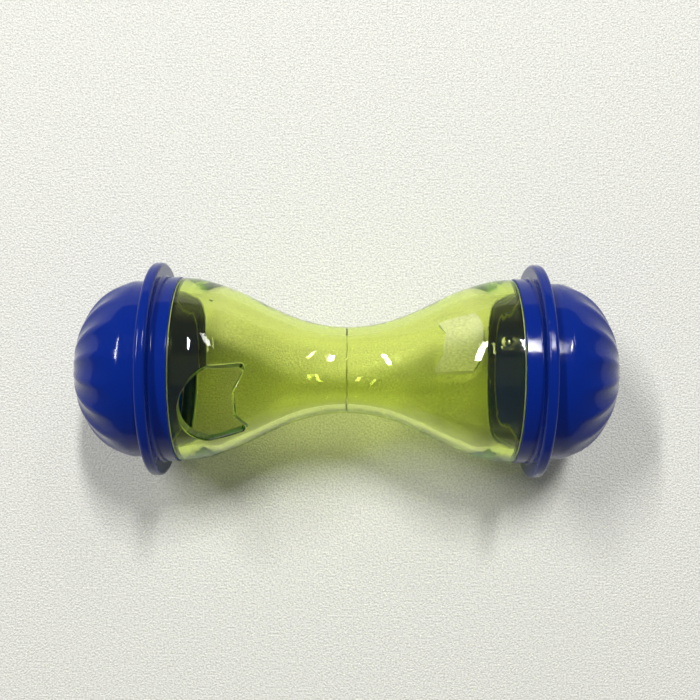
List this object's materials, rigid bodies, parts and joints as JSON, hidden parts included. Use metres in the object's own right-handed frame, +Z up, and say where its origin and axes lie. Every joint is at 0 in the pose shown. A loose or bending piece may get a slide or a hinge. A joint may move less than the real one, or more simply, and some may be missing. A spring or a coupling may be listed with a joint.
{
  "type": "rolling treat dispenser toy",
  "caption": "Hourglass pet treat dispenser: clear green body with cat-head openings, closed at both ends by blue fluted dome caps with a rolling ring.",
  "frame": {"origin": "on the long axis, at the weld between the two body halves", "axes": "+X along the toy towards the right cap, +Z up, -Y towards the viewer's side of the left opening"},
  "size_m": [0.137, 0.054, 0.054],
  "materials": {
    "clear_body": "polished see-through yellow green plastic",
    "blue_cap": "glossy royal blue moulding"
  },
  "bodies": {
    "body": {"left_body_half": "clear_body", "right_body_half": "clear_body"},
    "left_cap": {"left_end_cap": "blue_cap"},
    "right_cap": {"right_end_cap": "blue_cap"}
  },
  "joints": [
    {"name": "left_cap_pull", "type": "slide", "parent": "body", "child": "left_cap", "axis": [-1, 0, 0], "range_m": [0, 0.03]},
    {"name": "right_cap_pull", "type": "slide", "parent": "body", "child": "right_cap", "axis": [1, 0, 0], "range_m": [0, 0.03]}
  ]
}
